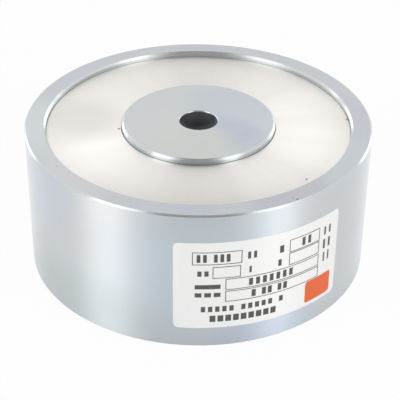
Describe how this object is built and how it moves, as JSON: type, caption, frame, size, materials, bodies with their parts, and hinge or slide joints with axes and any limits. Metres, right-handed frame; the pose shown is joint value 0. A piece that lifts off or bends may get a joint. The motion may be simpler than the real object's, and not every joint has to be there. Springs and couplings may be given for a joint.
{
  "type": "holding electromagnet",
  "caption": "Round holding electromagnet: a turned steel pot and core round a potted coil, closed by a recessed ring, with a through bore and rear screw terminals.",
  "frame": {"origin": "centre of the back face, where the magnet rests", "axes": "+Z along the bore, out of the pole faces; +Y towards the cable channel in the rim; the rating label faces -Y and +X"},
  "size_m": [0.1, 0.1001, 0.043],
  "materials": {
    "zinc_plated_steel": "turned mild steel, bright blue-grey zinc plate with faint iridescence",
    "turned_aluminium": "face-turned, satin, uncoated",
    "former_nylon": "moulded glass-filled nylon, natural",
    "enamelled_copper": "copper wire under clear enamel, wound in layers",
    "polyester_tape": "yellow polyester tape, lapped",
    "potting_epoxy": "black filled epoxy, cast",
    "lead_insulation": "extruded silicone insulation",
    "glass_sleeving": "varnished braided glass sleeving",
    "block_plastic": "moulded thermoset, fine grain",
    "terminal_brass": "punched strip, bright",
    "screw_steel": "zinc-plated small hardware",
    "label_film": null
  },
  "bodies": {
    "root": {"pot_body": "zinc_plated_steel", "pole_core": "zinc_plated_steel", "closing_ring": "turned_aluminium", "coil_former": "former_nylon", "coil_winding": "enamelled_copper", "winding_tape": "polyester_tape", "potting_resin": "potting_epoxy", "start_lead": "lead_insulation", "finish_lead": "lead_insulation", "start_lead_sleeve": "glass_sleeving", "finish_lead_sleeve": "glass_sleeving", "terminal_block": "block_plastic", "terminal_bar_plus": "terminal_brass", "terminal_bar_minus": "terminal_brass", "clamp_washer_plus": "screw_steel", "clamp_washer_minus": "screw_steel", "terminal_screw_plus": "screw_steel", "terminal_screw_minus": "screw_steel", "block_screw_left": "screw_steel", "block_screw_right": "screw_steel", "rating_label": "label_film"}
  },
  "joints": []
}
